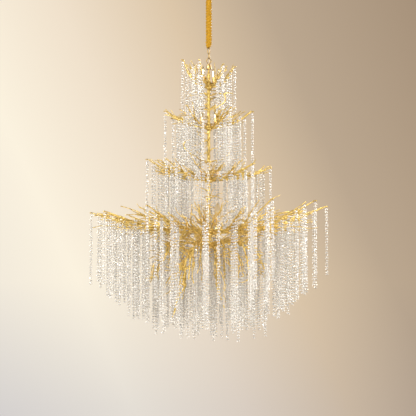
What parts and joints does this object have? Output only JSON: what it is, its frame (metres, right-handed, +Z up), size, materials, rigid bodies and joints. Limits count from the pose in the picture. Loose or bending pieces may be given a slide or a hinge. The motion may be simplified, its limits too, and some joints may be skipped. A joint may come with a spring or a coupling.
{
  "type": "crystal chandelier",
  "caption": "Tiered branch chandelier: gold limbs on one trunk, hung with strings of faceted crystal drops, on a chain in a ruched cloth sleeve under a ceiling canopy.",
  "frame": {"origin": "centre of the ceiling plate's top face, on the ceiling", "axes": "+Z up out of the ceiling face, -Y towards the front, +X to the right seen from the front"},
  "size_m": [1.1976, 1.1114, 1.8229],
  "materials": {
    "gold_branch": "gold leaf over cast brass, satin",
    "gold_chain": "bright gold plate",
    "gold_canopy": "brushed gold plate",
    "steel": "zinc plated",
    "sleeve_cloth": "gold satin, ruched",
    "cable_jacket": "clear jacket over gold braid",
    "crystal": "faceted clear crystal",
    "lamp_glass": "frosted",
    "socket_ceramic": "glazed",
    "terminal_plastic": "moulded"
  },
  "bodies": {
    "ceiling_set": {"ceiling_plate": "steel", "bridge_nuts": "steel", "threaded_nipple": "steel", "canopy": "gold_canopy", "collar_nut": "gold_canopy", "swivel_nut": "steel", "terminal_block": "terminal_plastic", "supply_cable": "cable_jacket"},
    "canopy_loop": {"canopy_loop": "gold_chain"},
    "top_link": {"top_link": "gold_chain", "loop_cable": "cable_jacket"},
    "chain": {"chain_links": "gold_chain", "chain_sleeve": "sleeve_cloth", "chain_cable": "cable_jacket"},
    "lower_link": {"lower_link": "gold_chain", "cable_tail": "cable_jacket"},
    "fixture": {"bottom_finial": "gold_branch", "branch_hubs": "gold_branch", "candle_lamps": "lamp_glass", "capsule_lamps": "lamp_glass", "hanging_eye": "gold_chain", "lamp_arms": "gold_branch", "lamp_leads": "cable_jacket", "lamp_sockets": "socket_ceramic", "lower_branches": "gold_branch", "lower_strings": "crystal", "main_branches": "gold_branch", "main_strings": "crystal", "stem_cable": "cable_jacket", "stem_tube": "steel", "tier1_branches": "gold_branch", "tier1_strings": "crystal", "tier2_branches": "gold_branch", "tier2_strings": "crystal", "tier3_branches": "gold_branch", "tier3_strings": "crystal", "top_cap": "gold_branch", "trunk_bark": "gold_branch"},
    "tier1_tip_string_01": {"tier1_tip_string_01": "crystal"},
    "tier1_tip_string_02": {"tier1_tip_string_02": "crystal"},
    "tier2_tip_string_01": {"tier2_tip_string_01": "crystal"},
    "tier2_tip_string_02": {"tier2_tip_string_02": "crystal"},
    "tier2_tip_string_03": {"tier2_tip_string_03": "crystal"},
    "tier3_tip_string_01": {"tier3_tip_string_01": "crystal"},
    "tier3_tip_string_02": {"tier3_tip_string_02": "crystal"},
    "tier3_tip_string_03": {"tier3_tip_string_03": "crystal"},
    "tier3_tip_string_04": {"tier3_tip_string_04": "crystal"},
    "main_tip_string_01": {"main_tip_string_01": "crystal"},
    "main_tip_string_02": {"main_tip_string_02": "crystal"},
    "main_tip_string_03": {"main_tip_string_03": "crystal"},
    "main_tip_string_04": {"main_tip_string_04": "crystal"},
    "main_tip_string_05": {"main_tip_string_05": "crystal"},
    "main_tip_string_06": {"main_tip_string_06": "crystal"},
    "main_tip_string_07": {"main_tip_string_07": "crystal"},
    "main_tip_string_08": {"main_tip_string_08": "crystal"},
    "main_tip_string_09": {"main_tip_string_09": "crystal"},
    "main_tip_string_10": {"main_tip_string_10": "crystal"},
    "main_tip_string_11": {"main_tip_string_11": "crystal"},
    "main_tip_string_12": {"main_tip_string_12": "crystal"}
  },
  "joints": [
    {"name": "loop_turn", "type": "hinge", "parent": "ceiling_set", "child": "canopy_loop", "pos_m": [0, 0, -0.0423], "axis": [0, 0, 1], "range_deg": [-45, 45]},
    {"name": "hook_sway", "type": "hinge", "parent": "canopy_loop", "child": "top_link", "pos_m": [0, 0, -0.0797], "axis": [0, 1, 0], "range_deg": [-15, 15], "deforming": ["loop_cable"]},
    {"name": "chain_sway", "type": "hinge", "parent": "top_link", "child": "chain", "pos_m": [0, 0, -0.1058], "axis": [1, 0, 0], "range_deg": [-15, 15]},
    {"name": "lower_link_sway", "type": "hinge", "parent": "chain", "child": "lower_link", "pos_m": [0, 0, -0.3688], "axis": [1, 0, 0], "range_deg": [-10, 10], "deforming": ["cable_tail"]},
    {"name": "fixture_sway", "type": "hinge", "parent": "lower_link", "child": "fixture", "pos_m": [0, 0, -0.3935], "axis": [0, 1, 0], "range_deg": [-10, 10]},
    {"name": "tier1_string_01_swing", "type": "hinge", "parent": "fixture", "child": "tier1_tip_string_01", "pos_m": [0.13251, 0.01949, -0.43101], "axis": [0.9894, 0.1455, 0], "range_deg": [-8, 8]},
    {"name": "tier1_string_02_swing", "type": "hinge", "parent": "fixture", "child": "tier1_tip_string_02", "pos_m": [-0.13281, -0.01736, -0.40446], "axis": [-0.9916, -0.1296, 0], "range_deg": [-8, 8]},
    {"name": "tier2_string_01_swing", "type": "hinge", "parent": "fixture", "child": "tier2_tip_string_01", "pos_m": [0.21994, -0.00055, -0.66555], "axis": [1, -0.0025, 0], "range_deg": [-8, 8]},
    {"name": "tier2_string_02_swing", "type": "hinge", "parent": "fixture", "child": "tier2_tip_string_02", "pos_m": [-0.21991, 0.00356, -0.66197], "axis": [-0.9999, 0.0162, 0], "range_deg": [-8, 8]},
    {"name": "tier2_string_03_swing", "type": "hinge", "parent": "fixture", "child": "tier2_tip_string_03", "pos_m": [-0.10713, -0.17668, -0.66496], "axis": [-0.5185, -0.8551, 0], "range_deg": [-8, 8]},
    {"name": "tier3_string_01_swing", "type": "hinge", "parent": "fixture", "child": "tier3_tip_string_01", "pos_m": [0.30986, 0.00689, -0.95022], "axis": [0.9998, 0.0223, 0], "range_deg": [-8, 8]},
    {"name": "tier3_string_02_swing", "type": "hinge", "parent": "fixture", "child": "tier3_tip_string_02", "pos_m": [-0.221, 0.21405, -0.92132], "axis": [-0.7183, 0.6957, 0], "range_deg": [-8, 8]},
    {"name": "tier3_string_03_swing", "type": "hinge", "parent": "fixture", "child": "tier3_tip_string_03", "pos_m": [-0.30993, 0.00255, -0.90659], "axis": [-1, 0.0082, 0], "range_deg": [-8, 8]},
    {"name": "tier3_string_04_swing", "type": "hinge", "parent": "fixture", "child": "tier3_tip_string_04", "pos_m": [0.21184, -0.21715, -0.95499], "axis": [0.6983, -0.7158, 0], "range_deg": [-8, 8]},
    {"name": "main_string_01_swing", "type": "hinge", "parent": "fixture", "child": "main_tip_string_01", "pos_m": [0.58775, -0.01501, -1.14636], "axis": [0.9997, -0.0255, 0], "range_deg": [-8, 8]},
    {"name": "main_string_02_swing", "type": "hinge", "parent": "fixture", "child": "main_tip_string_02", "pos_m": [0.47011, 0.2667, -1.1392], "axis": [0.8698, 0.4934, 0], "range_deg": [-8, 8]},
    {"name": "main_string_03_swing", "type": "hinge", "parent": "fixture", "child": "main_tip_string_03", "pos_m": [0.2997, 0.50034, -1.15149], "axis": [0.5139, 0.8579, 0], "range_deg": [-8, 8]},
    {"name": "main_string_04_swing", "type": "hinge", "parent": "fixture", "child": "main_tip_string_04", "pos_m": [0.01294, 0.53486, -1.17148], "axis": [0.0242, 0.9997, 0], "range_deg": [-8, 8]},
    {"name": "main_string_05_swing", "type": "hinge", "parent": "fixture", "child": "main_tip_string_05", "pos_m": [-0.28616, 0.49421, -1.17487], "axis": [-0.5011, 0.8654, 0], "range_deg": [-8, 8]},
    {"name": "main_string_06_swing", "type": "hinge", "parent": "fixture", "child": "main_tip_string_06", "pos_m": [-0.495, 0.29618, -1.18416], "axis": [-0.8581, 0.5135, 0], "range_deg": [-8, 8]},
    {"name": "main_string_07_swing", "type": "hinge", "parent": "fixture", "child": "main_tip_string_07", "pos_m": [-0.58793, -0.00244, -1.1779], "axis": [-1, -0.0042, 0], "range_deg": [-8, 8]},
    {"name": "main_string_08_swing", "type": "hinge", "parent": "fixture", "child": "main_tip_string_08", "pos_m": [-0.49123, -0.30043, -1.1907], "axis": [-0.8531, -0.5218, 0], "range_deg": [-8, 8]},
    {"name": "main_string_09_swing", "type": "hinge", "parent": "fixture", "child": "main_tip_string_09", "pos_m": [-0.2802, -0.47505, -1.17596], "axis": [-0.508, -0.8613, 0], "range_deg": [-8, 8]},
    {"name": "main_string_10_swing", "type": "hinge", "parent": "fixture", "child": "main_tip_string_10", "pos_m": [-0.0066, -0.55455, -1.1605], "axis": [-0.0119, -0.9999, 0], "range_deg": [-8, 8]},
    {"name": "main_string_11_swing", "type": "hinge", "parent": "fixture", "child": "main_tip_string_11", "pos_m": [0.28765, -0.48598, -1.14609], "axis": [0.5094, -0.8606, 0], "range_deg": [-8, 8]},
    {"name": "main_string_12_swing", "type": "hinge", "parent": "fixture", "child": "main_tip_string_12", "pos_m": [0.50218, -0.29383, -1.13962], "axis": [0.8631, -0.505, 0], "range_deg": [-8, 8]}
  ]
}
